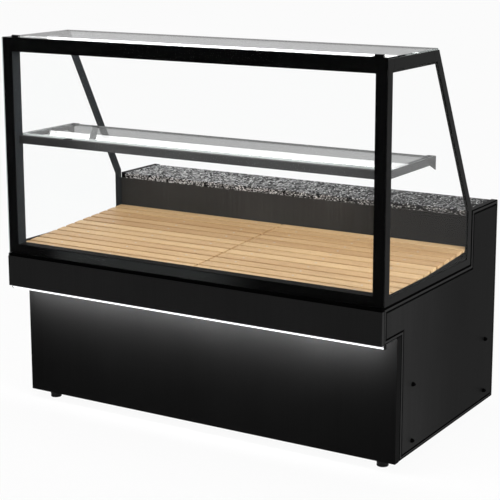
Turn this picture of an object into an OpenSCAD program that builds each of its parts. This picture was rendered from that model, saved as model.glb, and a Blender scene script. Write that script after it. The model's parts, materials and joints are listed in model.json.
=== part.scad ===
// Bread counter: a base cabinet with a glass display on top and a worktop behind it.
// x runs along the counter, y from the customers' side to the staff's side, z up from the floor.
// The origin is on the floor, in the middle of the counter's length and depth.
// Distances in y are written from the counter's front face and are moved by staged().

/* [Overall] */
// Length of the counter without its side bolts
length = 1500; // [1100:50:2000]
// Depth of the counter
depth = 920; // [880:10:1000]
// Height to the top of the glass display
height = 1350; // [1300:10:1450]

/* [Side panels] */
// Gap between the floor and the panels
floor_gap = 33; // [25:1:36]
// Thickness of a side panel with its trim
side_t = 25; // [20:1:32]
// Thickness of the trim and of the raised infill
trim_t = 5; // [3:0.5:8]
// Width of the trim round a side panel
trim_w = 13; // [12:1:24]
// Width of the groove between the trim and the infill
groove_w = 5; // [3:0.5:10]
// Height of the side panels beside the display
low_top = 572; // [560:1:590]
// Height of the worktop
worktop_z = 766; // [740:1:800]
// Depth of the raised part under the worktop
raised_d = 230; // [215:1:260]

/* [Front] */
// How far the plinth stands back from the front
plinth_set = 110; // [80:1:150]
// Thickness of the plinth panel
plinth_t = 25; // [16:1:30]
// Thickness of the seal between the plinth panel and the side panels
plinth_seal_t = 8; // [4:0.5:12]
// Height of the apron's lower edge
apron_z = 455; // [430:1:470]
// Height of the apron
apron_h = 110; // [90:1:115]
// Thickness of the apron
apron_t = 15.5; // [12:0.5:19]
// Thickness of the beam behind the apron
beam_t = 25; // [18:1:32]
// Thickness of the gasket under the display's frame
gasket_t = 5; // [3:0.5:8]
// How far the seals and gaskets stand back from the side
seal_set = 1.5; // [1:0.5:5]

/* [Display frame] */
// Width of the frame's profiles
profile_w = 40; // [34:1:50]
// Depth of the front posts
post_d = 42; // [34:1:50]
// Height of the sill rails
sill_h = 32; // [26:1:40]
// Height of the top rails
rail_h = 44; // [36:1:56]
// Width of a rear post, which is a flat bar
rear_post_d = 38; // [32:1:50]
// Thickness of the flat bars round the side glasses
side_bar_t = 7; // [7:0.5:12]
// How far the rear posts lean
lean = 28; // [20:0.5:32]
// Height of the bend above the worktop
bend_up = 2; // [0:1:20]

/* [Glass] */
// How far the front glass stands back from the apron's face
pane_set = 5; // [3:0.5:8]
// Thickness of the front glass
pane_t = 6; // [5:1:8]
// Thickness of the black border on the front glass
border_t = 0.5; // [0.3:0.1:1]
// Gap between the border and the posts
pane_gap = 2.5; // [2.5:0.1:4]
// Height of the border along the top
border_top = 50; // [45:1:60]
// Height of the border along the bottom
border_low = 30; // [24:1:36]
// Thickness of the side glasses
side_glass_t = 5; // [4:0.5:6]
// How far a side glass laps onto the frame
glass_lap = 8; // [5:0.5:12]
// Thickness of the top glass
top_glass_t = 6; // [5:0.5:8]
// How far the top glass stands in from the sides
top_glass_in = 1; // [0.5:0.5:3]

/* [Front glass hinges] */
// Distance of a hinge from the side of the counter
hinge_in = 40; // [30:1:60]
// Width of a hinge
hinge_w = 30; // [24:1:40]
// Radius of a knuckle
knuckle_r = 5.5; // [4.5:0.1:6]
// Radius of the hinge pin
hinge_pin_r = 2.5; // [1.5:0.1:3]
// Running clearance of the pins
pin_fit = 0.05; // [0.02:0.01:0.1]
// Height of the leaf on the glass
leaf_h = 42; // [30:1:44]

/* [Glass shelf] */
// Height of the glass shelf's top
shelf_z = 1000; // [940:5:1060]
// Thickness of the glass shelf
shelf_t = 8; // [6:0.5:10]
// Depth of the glass shelf
shelf_d = 285; // [220:5:320]
// Distance between the posts and the glass shelf
shelf_back = 34; // [20:1:60]
// Height of the shelf arms
arm_h = 26; // [20:1:32]
// Thickness of the shelf arms
arm_t = 4; // [3:0.5:6]
// Width of the ledge that carries the glass shelf
ledge_w = 26; // [18:1:32]
// Depth of the bar between the front posts
bar_d = 20; // [14:1:30]
// Height of the bar between the front posts
bar_h = 28; // [20:1:36]

/* [Bread deck] */
// Height of the deck's front edge
deck_front_z = 600; // [592:1:612]
// Height of the deck's rear edge
deck_rear_z = 640; // [630:1:660]
// Width of a slat
slat_w = 42; // [30:1:60]
// Gap between two slats
slat_gap = 10; // [6:1:16]
// Thickness of a slat
slat_t = 12; // [9:0.5:15]
// Thickness of the bearers under the deck
bearer_t = 18; // [12:1:22]

/* [Crumb trays] */
// Height of a crumb tray
tray_h = 68; // [40:1:72]
// Sheet thickness of a crumb tray
tray_t = 2; // [1.5:0.5:3]
// Height of the runners under the trays
runner_h = 12; // [8:1:16]
// Width of the runners under the trays
runner_w = 16; // [10:1:24]

/* [Storage] */
// Height of the bottom board's underside
bottom_z = 66; // [60:1:72]
// Thickness of the bottom board
bottom_t = 24; // [18:1:28]
// Thickness of the other boards
board_t = 18; // [16:1:22]
// Height of the storage shelves' underside
storage_z = 262; // [200:1:320]
// Distance of the inner boards from the counter's rear face
rear_in = 42; // [40:1:50]
// Gap between the inner boards and the doors
door_gap = 8; // [7:0.5:10]
// Clearance between a door's edge and its neighbours
door_edge = 3.5; // [3:0.1:4]
// Distance of the door pivot from the door's edge
pivot_in = 12; // [10:0.5:12]
// Radius of the door pivot pins
pivot_r = 3; // [2:0.5:4]
// Height clearance of a door above its pivot plate
door_rest = 0.5; // [0.3:0.1:0.8]
// Thickness of the pivot plates and foot plates
plate_t = 4; // [3:0.5:5]

/* [Worktop] */
// Thickness of the stone worktop
worktop_t = 20; // [18:1:30]
// Height of the rail under the worktop's rear edge
worktop_rail_h = 25; // [18:1:30]
// Distance of the worktop from the counter's rear face
slab_in = 12; // [0:1:30]
// How far the inner back panel stands in front of the raised sides
back_panel_set = 8; // [4:1:12]
// Width of the bay behind the switch panel
switch_bay_w = 105; // [90:5:150]

/* [Lamps] */
// Width of the strip lamp under the apron
strip_w = 16; // [14:1:24]
// Height of the strip lamp's channel
strip_h = 7; // [7:0.5:12]
// Depth of the lamp under the top glass
lamp_d = 42; // [30:1:60]
// Height of the lamp's housing
lamp_h = 14; // [10:1:20]

/* [Feet and bolts] */
// Radius of a foot
foot_r = 20; // [15:1:24]
// Height of a foot without its stem
foot_h = 40; // [36:1:42]
// Distance of the feet from the ends of the counter
foot_in = 70; // [60:1:140]
// Distance of the front feet from the front
foot_front = 163; // [161:1:220]
// Distance of the rear feet from the rear face
foot_rear = 120; // [110:1:200]
// Radius of a foot's stem
stem_r = 5; // [4:0.5:6]
// Radius of a side bolt's head
bolt_head_r = 7.5; // [6:0.5:10]
// How far a side bolt's head stands proud
bolt_proud = 10; // [5:0.5:12]
// Radius of a side bolt's shank
bolt_r = 4; // [3:0.5:5]

/* [Hidden] */
$fn = 48;

// Half lengths along x
half = length / 2;
inner = half - side_t;
frame_in = half - profile_w;
bar_in = half - side_bar_t;

// Depths in y, from the front face
plinth_back = plinth_set + plinth_t;
side_front = plinth_back + plinth_seal_t;
raised_y = depth - raised_d;
back_panel_y = raised_y - back_panel_set;
board_rear = depth - rear_in;
door_y = board_rear + door_gap;
post_y = pane_set + pane_t + border_t + pane_gap;
post_back = post_y + post_d;
rear_post_y = back_panel_y - rear_post_d;

// Heights
sill_z = low_top + gasket_t;
sill_top = sill_z + sill_h;
frame_top = height - top_glass_t;
rail_z = frame_top - rail_h;
bend_z = worktop_z + bend_up;
mid_top = apron_z + board_t;
slab_z = worktop_z - worktop_t;
niche_z = low_top + board_t;

// Small clearances between pieces that meet
glass_fit = 0.5;
slip = 0.3;
joint_gap = 0.1;
lip_gap = 1.5;

// How far a cut runs past what it cuts
past = 1;

// Side panel: outline of the L-shaped side, set in by m
function side_outline(m) = [
    [side_front + m, floor_gap + m], [side_front + m, apron_z + m],
    [apron_t + m, apron_z + m], [apron_t + m, low_top - m],
    [raised_y + m, low_top - m], [raised_y + m, worktop_z - m],
    [depth - m, worktop_z - m], [depth - m, floor_gap + m]
];

// Side opening of the display: the inner edge of the frame, let into the profiles by m
function lean_y(m, z) = rear_post_y + m / cos(lean) - (z - bend_z) * tan(lean);
function side_opening(m) = [
    [post_back - m, sill_top - m], [rear_post_y + m, sill_top - m],
    [rear_post_y + m, bend_z + (m / cos(lean) - m) / tan(lean)],
    [lean_y(m, rail_z + m), rail_z + m], [post_back - m, rail_z + m]
];

// Places of the side bolts: into the bottom board and into the storage shelves
bolt_in = [87, 46];
bolt_y = [side_front + bolt_in[0], board_rear - bolt_in[1]];
bolt_z = [bottom_z + bottom_t / 2, storage_z + board_t / 2];

// Moves a piece from the front face to the origin
module staged() {
    translate([0, -depth / 2, 0]) children();
}

// A box from its lowest to its highest corner
module block(low, high) {
    translate(low) cube(high - low);
}

// A board with an outline in y and z, between two values of x
module slice(x0, x1, points) {
    translate([x0, 0, 0]) rotate([90, 0, 90]) linear_extrude(x1 - x0) polygon(points);
}

// The same piece on the right and on the left
module both_sides() {
    children();
    mirror([1, 0, 0]) children();
}

// A round bar along x, y or z
module bar_x(r, x0, x1, y, z) {
    translate([x0, y, z]) rotate([0, 90, 0]) cylinder(r = r, h = x1 - x0);
}

module bar_y(r, y0, y1, x, z) {
    translate([x, y0, z]) rotate([-90, 0, 0]) cylinder(r = r, h = y1 - y0);
}

module bar_z(r, z0, z1, x, y) {
    translate([x, y, z0]) cylinder(r = r, h = z1 - z0);
}

// Side panels, their trims and bolts
bolt_fit = 0.25;

module side_panel() {
    difference() {
        union() {
            slice(inner, half - trim_t, side_outline(0));
            slice(half - trim_t, half, side_outline(trim_w + groove_w));
        }
        for (y = bolt_y, z = bolt_z) bar_x(bolt_r + bolt_fit, inner - past, half + past, y, z);
    }
}

module side_panel_right() {
    color([0.13, 0.13, 0.13]) staged() side_panel();
}

module side_panel_left() {
    color([0.13, 0.13, 0.13]) staged() mirror([1, 0, 0]) side_panel();
}

// The bottom length of the trim is butted to the next one here
trim_seam_in = 235;
trim_seam_y = depth - trim_seam_in;
trim_seam_w = 1;

module side_trims() {
    color([0.22, 0.22, 0.22]) staged() both_sides() difference() {
        slice(half - trim_t, half, side_outline(0));
        slice(half - trim_t - past, half + past, side_outline(trim_w));
        block([half - trim_t - past, trim_seam_y, floor_gap - past],
              [half + past, trim_seam_y + trim_seam_w, floor_gap + trim_w + past]);
    }
}

bolt_length = 50;
bolt_edge = 2;

module side_bolts() {
    head_end = half + bolt_proud;
    color([0.05, 0.05, 0.05]) staged() both_sides() for (y = bolt_y, z = bolt_z) {
        bar_x(bolt_r, half - bolt_length, half, y, z);
        bar_x(bolt_head_r, half, head_end - bolt_edge, y, z);
        bar_x(bolt_head_r - bolt_edge, head_end - bolt_edge, head_end, y, z);
    }
}

// Boards inside the base cabinet
foot_x = half - foot_in;
foot_y = [foot_front, depth - foot_rear];
stem_room = 1.5;

module bottom_board() {
    color([0.2, 0.2, 0.2]) staged() difference() {
        block([-inner, plinth_back, bottom_z], [inner, board_rear, bottom_z + bottom_t]);
        for (x = [-foot_x, foot_x], y = foot_y) {
            bar_z(stem_r + stem_room, bottom_z - past, bottom_z + bottom_t + past, x, y);
        }
        both_sides() for (y = bolt_y) bar_x(bolt_r, half - bolt_length, half, y, bolt_z[0]);
    }
}

module mid_board() {
    color([0.2, 0.2, 0.2]) staged() block([-inner, apron_t, apron_z], [inner, board_rear, mid_top]);
}

module divider() {
    color([0.2, 0.2, 0.2]) staged()
        block([-board_t / 2, plinth_back, bottom_z + bottom_t], [board_t / 2, board_rear, apron_z]);
}

// The storage shelves stop short of the doors
storage_short = 3;

module storage_shelves() {
    color([0.25, 0.25, 0.25]) staged() both_sides() difference() {
        block([board_t / 2, plinth_back, storage_z],
              [inner, board_rear - storage_short, storage_z + board_t]);
        for (y = bolt_y) bar_x(bolt_r, half - bolt_length, half, y, bolt_z[1]);
    }
}

module plinth_panel() {
    color([0.08, 0.08, 0.08]) staged()
        block([-half, plinth_set, floor_gap], [half, plinth_back, apron_z]);
}

module plinth_seals() {
    color([0.03, 0.03, 0.03]) staged() both_sides()
        block([inner, plinth_back, floor_gap], [half - seal_set, side_front, apron_z]);
}

module front_beam() {
    color([0.1, 0.1, 0.1]) staged()
        block([-inner, apron_t, mid_top], [inner, apron_t + beam_t, low_top]);
}

module apron() {
    color([0.1, 0.1, 0.1]) staged() block([-half, 0, apron_z], [half, apron_t, apron_z + apron_h]);
}

module sill_gasket() {
    color([0.03, 0.03, 0.03]) staged() {
        both_sides() block([inner, apron_t + seal_set, low_top], [half - seal_set, back_panel_y, sill_z]);
        block([-inner, apron_t + seal_set, low_top], [inner, apron_t + beam_t, sill_z]);
        block([seal_set - half, seal_set, low_top],
              [half - seal_set, apron_t + seal_set, sill_z - lip_gap]);
        block([seal_set - half, seal_set, apron_z + apron_h], [half - seal_set, apron_t, low_top]);
    }
}

// Frame of the display
module glass_pocket() {
    slice(half - side_glass_t - glass_fit, half + past, side_opening(glass_lap + glass_fit));
}

module front_sill() {
    color([0.07, 0.07, 0.07]) staged()
        block([-frame_in, post_y, sill_z], [frame_in, post_back, sill_top]);
}

// The side sills are angles: an upright bar, and a foot that lies on the side panel
sill_foot_t = 5;

module side_sills() {
    color([0.16, 0.16, 0.16]) staged() both_sides() {
        difference() {
            block([bar_in, post_back, sill_z], [half, back_panel_y, sill_top]);
            glass_pocket();
        }
        block([inner, post_back, sill_z], [bar_in, back_panel_y, sill_z + sill_foot_t]);
    }
}

module front_posts() {
    color([0.16, 0.16, 0.16]) staged() both_sides() difference() {
        block([frame_in, post_y, sill_z], [half, post_back, frame_top]);
        glass_pocket();
    }
}

module front_top_rail() {
    color([0.07, 0.07, 0.07]) staged()
        block([-frame_in, post_y, rail_z], [frame_in, post_back, frame_top]);
}

module side_top_rails() {
    color([0.16, 0.16, 0.16]) staged() both_sides() difference() {
        slice(bar_in, half, [
            [post_back, rail_z], [post_back, frame_top],
            [lean_y(0, frame_top) - joint_gap, frame_top], [lean_y(0, rail_z) - joint_gap, rail_z]
        ]);
        glass_pocket();
    }
}

module rear_posts() {
    color([0.16, 0.16, 0.16]) staged() both_sides() difference() {
        slice(bar_in, half, [
            [rear_post_y, sill_top], [back_panel_y, sill_top],
            [back_panel_y, bend_z + rear_post_d * tan(lean / 2)],
            [lean_y(rear_post_d, frame_top), frame_top], [lean_y(0, frame_top), frame_top],
            [rear_post_y, bend_z]
        ]);
        glass_pocket();
    }
}

// Glass of the display
module side_glasses() {
    color([0.8, 0.86, 0.86, 0.4]) staged() both_sides()
        slice(half - side_glass_t - glass_fit, half - glass_fit, side_opening(glass_lap));
}

hinge_x = half - hinge_in;
hinge_y = post_y + post_d / 2;
knuckle_up = 1;
hinge_z = frame_top + knuckle_r + knuckle_up;
hinge_room = 4;
top_glass_set = 3;
top_glass_rear = lean_y(rear_post_d, height) - top_glass_set;

module top_glass() {
    color([0.8, 0.86, 0.86, 0.4]) staged() difference() {
        block([-half + top_glass_in, post_y, frame_top], [half - top_glass_in, top_glass_rear, height]);
        both_sides() block(
            [hinge_x - hinge_w / 2 - hinge_room, post_y - past, frame_top - past],
            [hinge_x + hinge_w / 2 + hinge_room, hinge_y + 2 * knuckle_r + hinge_room, height + past]
        );
    }
}

module front_glass() {
    color([0.8, 0.86, 0.86, 0.4]) staged()
        block([-half, pane_set, sill_z], [half, pane_set + pane_t, height]);
}

border_y = pane_set + pane_t;

module front_glass_border() {
    color([0.03, 0.03, 0.03]) staged() difference() {
        block([-half, border_y, sill_z], [half, border_y + border_t, height]);
        block([-frame_in, border_y - past, sill_z + border_low],
              [frame_in, border_y + border_t + past, height - border_top]);
    }
}

// Hinges of the front glass: a leaf on the glass turns between two fixed knuckles
leaf_y = border_y + border_t;
leaf_t = 2;
leaf_in = 1;
strap_t = 3;
knuckle_gap = 0.4;
knuckle_w = hinge_w / 2 - knuckle_gap;
strap_z = hinge_z - knuckle_r;

module glass_hinge_leaves() {
    color([0.05, 0.05, 0.05]) staged() both_sides() difference() {
        union() {
            block([hinge_x - hinge_w / 2 + leaf_in, leaf_y, strap_z + strap_t - leaf_h],
                  [hinge_x + hinge_w / 2 - leaf_in, leaf_y + leaf_t, strap_z]);
            block([hinge_x - knuckle_w / 2, leaf_y, strap_z - past],
                  [hinge_x + knuckle_w / 2, hinge_y, strap_z + strap_t]);
            bar_x(knuckle_r, hinge_x - knuckle_w / 2, hinge_x + knuckle_w / 2, hinge_y, hinge_z);
        }
        bar_x(hinge_pin_r + pin_fit, hinge_x - hinge_w, hinge_x + hinge_w, hinge_y, hinge_z);
        block([hinge_x - hinge_w, leaf_y + leaf_t, strap_z - 2 * past],
              [hinge_x + hinge_w, hinge_y, strap_z]);
    }
}

module hinge_cheek(x0, x1) {
    difference() {
        union() {
            block([x0, hinge_y - knuckle_r, frame_top], [x1, hinge_y + knuckle_r, hinge_z]);
            block([x0, hinge_y, frame_top], [x1, hinge_y + 2 * knuckle_r, frame_top + strap_t]);
            bar_x(knuckle_r, x0, x1, hinge_y, hinge_z);
        }
        bar_x(hinge_pin_r, x0 - past, x1 + past, hinge_y, hinge_z);
    }
}

module glass_hinge_bases() {
    color([0.05, 0.05, 0.05]) staged() both_sides() {
        hinge_cheek(hinge_x - hinge_w / 2, hinge_x - knuckle_w / 2 - knuckle_gap);
        hinge_cheek(hinge_x + knuckle_w / 2 + knuckle_gap, hinge_x + hinge_w / 2);
    }
}

module glass_hinge_pins() {
    color([0.6, 0.6, 0.62]) staged() both_sides()
        bar_x(hinge_pin_r, hinge_x - hinge_w / 2, hinge_x + hinge_w / 2, hinge_y, hinge_z);
}

// Seal between the closed front glass and the posts
seal_w = 12;
seal_in = 8;
seal_slip = 0.4;
seal_y = leaf_y + seal_slip;

module front_seal() {
    color([0.02, 0.02, 0.02]) staged() {
        both_sides() block([half - seal_in - seal_w, seal_y, sill_z + seal_in],
                           [half - seal_in, post_y, frame_top - seal_in]);
        block([-hinge_x + hinge_w / 2 + hinge_room, seal_y, frame_top - seal_in - seal_w],
              [hinge_x - hinge_w / 2 - hinge_room, post_y, frame_top - seal_in]);
        block([-half + seal_in + seal_w, seal_y, sill_z + seal_in],
              [half - seal_in - seal_w, post_y, sill_z + seal_in + seal_w]);
    }
}

// Glass shelf on two arms behind the front posts
arm_gap = 1.5;
arm_past = 12;
arm_x = half - side_glass_t - glass_fit - arm_gap;
shelf_y = post_back + shelf_back;
arm_end = shelf_y + shelf_d + arm_past;
arm_z = shelf_z - arm_h;
ledge_z = shelf_z - shelf_t - arm_t;
flare_l = 42;
flare_h = 20;
arm_foot_h = 70;

module shelf_bar() {
    color([0.07, 0.07, 0.07]) staged()
        block([-frame_in, post_back - bar_d, shelf_z - bar_h], [frame_in, post_back, shelf_z]);
}

module shelf_arms() {
    color([0.12, 0.12, 0.12]) staged() both_sides() {
        slice(arm_x - arm_t, arm_x, [
            [post_back, arm_z], [arm_end - flare_l, arm_z], [arm_end, arm_z - flare_h],
            [arm_end, shelf_z], [post_back, shelf_z]
        ]);
        block([arm_x - arm_t - ledge_w, post_back, ledge_z], [arm_x - arm_t, arm_end, ledge_z + arm_t]);
        block([arm_x - arm_t - ledge_w, post_back, shelf_z - arm_foot_h],
              [arm_x - arm_t, post_back + arm_t, ledge_z]);
        block([arm_x - arm_t, post_back, shelf_z - arm_foot_h], [arm_x, post_back + arm_t, arm_z]);
    }
}

module shelf_glass() {
    color([0.8, 0.86, 0.86, 0.4]) staged()
        block([-arm_x + arm_t + glass_fit, shelf_y, shelf_z - shelf_t],
              [arm_x - arm_t - glass_fit, shelf_y + shelf_d, shelf_z]);
}

stop_h = 3;
clip_x = -half / 3 * 2;
clip_w = 24;

module shelf_stops() {
    color([0.04, 0.04, 0.04]) staged() {
        both_sides() block([arm_x - arm_t - ledge_w, shelf_y + shelf_d, ledge_z + arm_t],
                           [arm_x - arm_t, arm_end, shelf_z]);
        block([clip_x - clip_w / 2, post_back - bar_d, shelf_z],
              [clip_x + clip_w / 2, post_back, shelf_z + stop_h]);
    }
}

// Lamp under the top glass
lamp_end = 4;
lamp_x = frame_in - lamp_end;
lamp_cover_h = 6;
lamp_rim = 5;

module top_lamp_housing() {
    color([0.9, 0.9, 0.9]) staged()
        block([-lamp_x, post_back, frame_top - lamp_h], [lamp_x, post_back + lamp_d, frame_top]);
}

module top_lamp_cover() {
    color([1, 1, 1]) staged() block(
        [-lamp_x + lamp_rim, post_back + lamp_rim, frame_top - lamp_h - lamp_cover_h],
        [lamp_x - lamp_rim, post_back + lamp_d - lamp_rim, frame_top - lamp_h]
    );
}

// Strip lamp behind the apron: a channel under the middle board and a round cover below it
strip_end = 2;
strip_x = half - strip_end;
strip_wall = 1.5;
strip_gap = 1.5;
strip_y = apron_t + strip_gap;
strip_z = apron_z - strip_h;
cover_r = strip_w / 2 - strip_wall;
cover_mid_z = strip_z - 1;
strip_mid = strip_y + strip_w / 2;

module strip_channel() {
    color([0.3, 0.3, 0.3]) staged() difference() {
        block([-strip_x, strip_y, strip_z], [strip_x, strip_y + strip_w, apron_z]);
        block([-strip_x - past, strip_y + strip_wall, strip_z - past],
              [strip_x + past, strip_y + strip_w - strip_wall, apron_z - strip_wall]);
    }
}

module strip_cover() {
    color([1, 1, 1]) staged() {
        intersection() {
            bar_x(cover_r, -strip_x, strip_x, strip_mid, cover_mid_z);
            block([-strip_x, strip_y, cover_mid_z - cover_r], [strip_x, strip_y + strip_w, cover_mid_z]);
        }
        block([-strip_x, strip_mid - cover_r, cover_mid_z],
              [strip_x, strip_mid + cover_r, strip_z + strip_h / 2]);
    }
}

// Bread deck: slatted grates on three bearers, which also part the crumb trays
deck_gap_front = 2;
deck_gap_rear = 3;
deck_gap_side = 2;
deck_side = frame_in - deck_gap_side;
slat_side = bar_in - deck_gap_side;
deck_y = post_back + deck_gap_front;
deck_run = back_panel_y - deck_gap_rear - deck_y;
deck_slope = atan((deck_rear_z - deck_front_z) / deck_run);
deck_drop = slat_t / cos(deck_slope);
slat_pitch = slat_w + slat_gap;
deck_length = deck_run / cos(deck_slope);
slat_count = floor((deck_length + slat_gap) / slat_pitch);
slat_first = (deck_length - slat_count * slat_pitch + slat_gap) / 2;
grate_edge = 3;
batten_w = 30;
batten_h = 10;
batten_places = [0.12, 0.5, 0.88];

function deck_under(y) = deck_front_z - deck_drop + (y - deck_y) * tan(deck_slope);

module deck_bearers() {
    bearer = [
        [apron_t + beam_t, mid_top], [apron_t + beam_t, low_top], [deck_y, low_top],
        [deck_y, deck_under(deck_y)], [back_panel_y, deck_under(back_panel_y)],
        [back_panel_y, low_top], [board_rear, low_top], [board_rear, mid_top]
    ];
    color([0.15, 0.15, 0.15]) staged() {
        slice(-bearer_t / 2, bearer_t / 2, bearer);
        both_sides() slice(deck_side - bearer_t, deck_side, bearer);
    }
}

module deck_grate() {
    x0 = grate_edge;
    span = deck_side - x0 - 2 * bearer_t;
    translate([0, deck_y, deck_front_z]) rotate([deck_slope, 0, 0]) {
        for (i = [0:slat_count - 1]) {
            block([x0, slat_first + i * slat_pitch, -slat_t],
                  [slat_side, slat_first + i * slat_pitch + slat_w, 0]);
        }
        for (share = batten_places) {
            xb = x0 + bearer_t + span * share;
            block([xb - batten_w / 2, slat_first, -slat_t - batten_h],
                  [xb + batten_w / 2, slat_first + slat_count * slat_pitch - slat_gap, -slat_t]);
        }
    }
}

module deck_grate_right() {
    color([0.86, 0.72, 0.5]) staged() deck_grate();
}

module deck_grate_left() {
    color([0.86, 0.72, 0.5]) staged() mirror([1, 0, 0]) deck_grate();
}

// Crumb trays that slide out to the staff's side on plain runners
tray_side = 3;
tray_x0 = bearer_t / 2 + tray_side;
tray_x1 = deck_side - bearer_t - tray_side;
tray_z = mid_top + runner_h + slip;
tray_set = 20;
tray_front = apron_t + beam_t + tray_set;
tray_edge = 4;
front_low = mid_top + tray_edge;
front_high = low_top - tray_edge;
lip_d = 14;
lip_t = 3;
lip_drop = 10;
lip_w = 180;

module crumb_tray() {
    difference() {
        block([tray_x0, tray_front, tray_z], [tray_x1, door_y, tray_z + tray_h]);
        block([tray_x0 + tray_t, tray_front + tray_t, tray_z + tray_t],
              [tray_x1 - tray_t, door_y - tray_t, tray_z + tray_h + past]);
    }
    block([door_edge / 2, door_y, front_low], [inner - door_edge, door_y + board_t, front_high]);
    block([inner / 2 - lip_w / 2, door_y + board_t, front_high - lip_t],
          [inner / 2 + lip_w / 2, door_y + board_t + lip_d, front_high]);
    block([inner / 2 - lip_w / 2, door_y + board_t + lip_d - lip_t, front_high - lip_drop],
          [inner / 2 + lip_w / 2, door_y + board_t + lip_d, front_high - lip_t]);
}

module crumb_tray_right() {
    color([0.7, 0.7, 0.72]) staged() crumb_tray();
}

module crumb_tray_left() {
    color([0.7, 0.7, 0.72]) staged() mirror([1, 0, 0]) crumb_tray();
}

module tray_runners() {
    color([0.1, 0.1, 0.1]) staged() both_sides() {
        block([bearer_t / 2, tray_front, mid_top],
              [bearer_t / 2 + runner_w, board_rear, mid_top + runner_h]);
        block([deck_side - bearer_t - runner_w, tray_front, mid_top],
              [deck_side - bearer_t, board_rear, mid_top + runner_h]);
    }
}

// Worktop, the wall below it and the open niche at the staff's side
niche_share = 0.33;
niche_x = [-inner * niche_share, inner * niche_share, inner - switch_bay_w];

// A tongue at each end fills the space between the rear post and the raised side
tongue_in = 4;

module inner_back_panel() {
    color([0.2, 0.2, 0.2]) staged() {
        block([-inner, back_panel_y, niche_z], [inner, back_panel_y + board_t, slab_z]);
        both_sides() block([inner, back_panel_y, niche_z], [half - tongue_in, raised_y, slab_z]);
    }
}

module rear_niche() {
    color([0.2, 0.2, 0.2]) staged() {
        block([-inner, back_panel_y, low_top], [inner, board_rear, niche_z]);
        for (x = niche_x) {
            block([x - board_t / 2, back_panel_y + board_t, niche_z],
                  [x + board_t / 2, board_rear - worktop_rail_h, slab_z]);
        }
    }
}

module worktop_rail() {
    color([0.1, 0.1, 0.1]) staged() block(
        [-inner, board_rear - worktop_rail_h, slab_z - worktop_rail_h],
        [inner, board_rear, slab_z]
    );
}

module worktop() {
    color([0.25, 0.25, 0.26]) staged()
        block([-inner, back_panel_y, slab_z], [inner, depth - slab_in, worktop_z]);
}

// Doors of the storage at the staff's side
door_x0 = door_edge / 2;
door_x1 = inner - door_edge;
door_low = bottom_z + door_rest;
door_high = apron_z - plate_t - door_rest;
pivot_x = door_x1 - pivot_in;
pivot_y = door_y + board_t / 2;
pivot_depth = 16;
pin_l = pivot_depth - 3;
pivot_plate = 30;

module door() {
    difference() {
        block([door_x0, door_y, door_low], [door_x1, door_y + board_t, door_high]);
        bar_z(pivot_r + pin_fit, door_low - past, door_low + pivot_depth, pivot_x, pivot_y);
        bar_z(pivot_r + pin_fit, door_high - pivot_depth, door_high + past, pivot_x, pivot_y);
    }
}

module door_right() {
    color([0.09, 0.09, 0.09]) staged() door();
}

module door_left() {
    color([0.09, 0.09, 0.09]) staged() mirror([1, 0, 0]) door();
}

pull_l = 160;
pull_w = 24;
pull_t = 2;
pull_hook = 8;
pull_y = door_y + board_t;
pull_x = door_x0 + 30;
pull_top = door_high - 40;

module door_pull() {
    low = pull_top - pull_l;
    block([pull_x, pull_y, low], [pull_x + pull_w, pull_y + pull_t, pull_top]);
    block([pull_x, pull_y + pull_t, low], [pull_x + pull_t, pull_y + lip_d, pull_top]);
    block([pull_x - pull_hook, pull_y + lip_d - pull_t, low], [pull_x, pull_y + lip_d, pull_top]);
}

module door_pull_right() {
    color([0.7, 0.7, 0.72]) staged() door_pull();
}

module door_pull_left() {
    color([0.7, 0.7, 0.72]) staged() mirror([1, 0, 0]) door_pull();
}

module door_pivots() {
    color([0.6, 0.6, 0.62]) staged() both_sides() {
        block([inner - pivot_plate, board_rear - pivot_plate, bottom_z - plate_t],
              [inner, door_y + board_t, bottom_z]);
        bar_z(pivot_r, bottom_z, bottom_z + pin_l, pivot_x, pivot_y);
        block([inner - pivot_plate, board_rear - pivot_plate, apron_z - plate_t],
              [inner, door_y + board_t, apron_z]);
        bar_z(pivot_r, apron_z - plate_t - pin_l, apron_z - plate_t, pivot_x, pivot_y);
    }
}

// Switch panel, rocker, driver of the lamps and cable gland, at the staff's right-hand end
switch_x = (niche_x[2] + board_t / 2 + inner) / 2;
switch_z = niche_z + 95;
switch_y = board_rear;
cover_t = 4;
cover_y = switch_y + cover_t;
cover_low = niche_z + 1;
bezel_w = 30;
bezel_h = 38;
bezel_t = 3;
rocker_w = 18;
rocker_h = 25;
rocker_side = 0.5;
rocker_end = 1.5;
axle_r = 1.5;
axle_l = 23;
axle_y = switch_y + cover_t / 2;
gland_r = 4;
gland_z = niche_z + 30;
gland_body_r = gland_r + 4;

module switch_panel() {
    color([0.12, 0.12, 0.12]) staged() difference() {
        union() {
            block([niche_x[2] - board_t / 2, switch_y, cover_low], [inner, cover_y, slab_z]);
            block([switch_x - bezel_w / 2, cover_y, switch_z - bezel_h / 2],
                  [switch_x + bezel_w / 2, cover_y + bezel_t, switch_z + bezel_h / 2]);
        }
        translate([switch_x, 0, switch_z]) block(
            [-rocker_w / 2 - rocker_side, switch_y - past, -rocker_h / 2 - rocker_end],
            [rocker_w / 2 + rocker_side, cover_y + bezel_t + past, rocker_h / 2 + rocker_end]
        );
        translate([switch_x, 0, 0])
            bar_x(axle_r + pin_fit, -axle_l / 2 - slip, axle_l / 2 + slip, axle_y, switch_z);
        bar_y(gland_body_r + joint_gap, switch_y - past, cover_y + past, switch_x, gland_z);
    }
}

// The rocker rests with its upper half pressed in
rocker_tilt = 8;
rocker_in = 4;
rocker_out = 8;
rocker_waist = 6;

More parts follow.
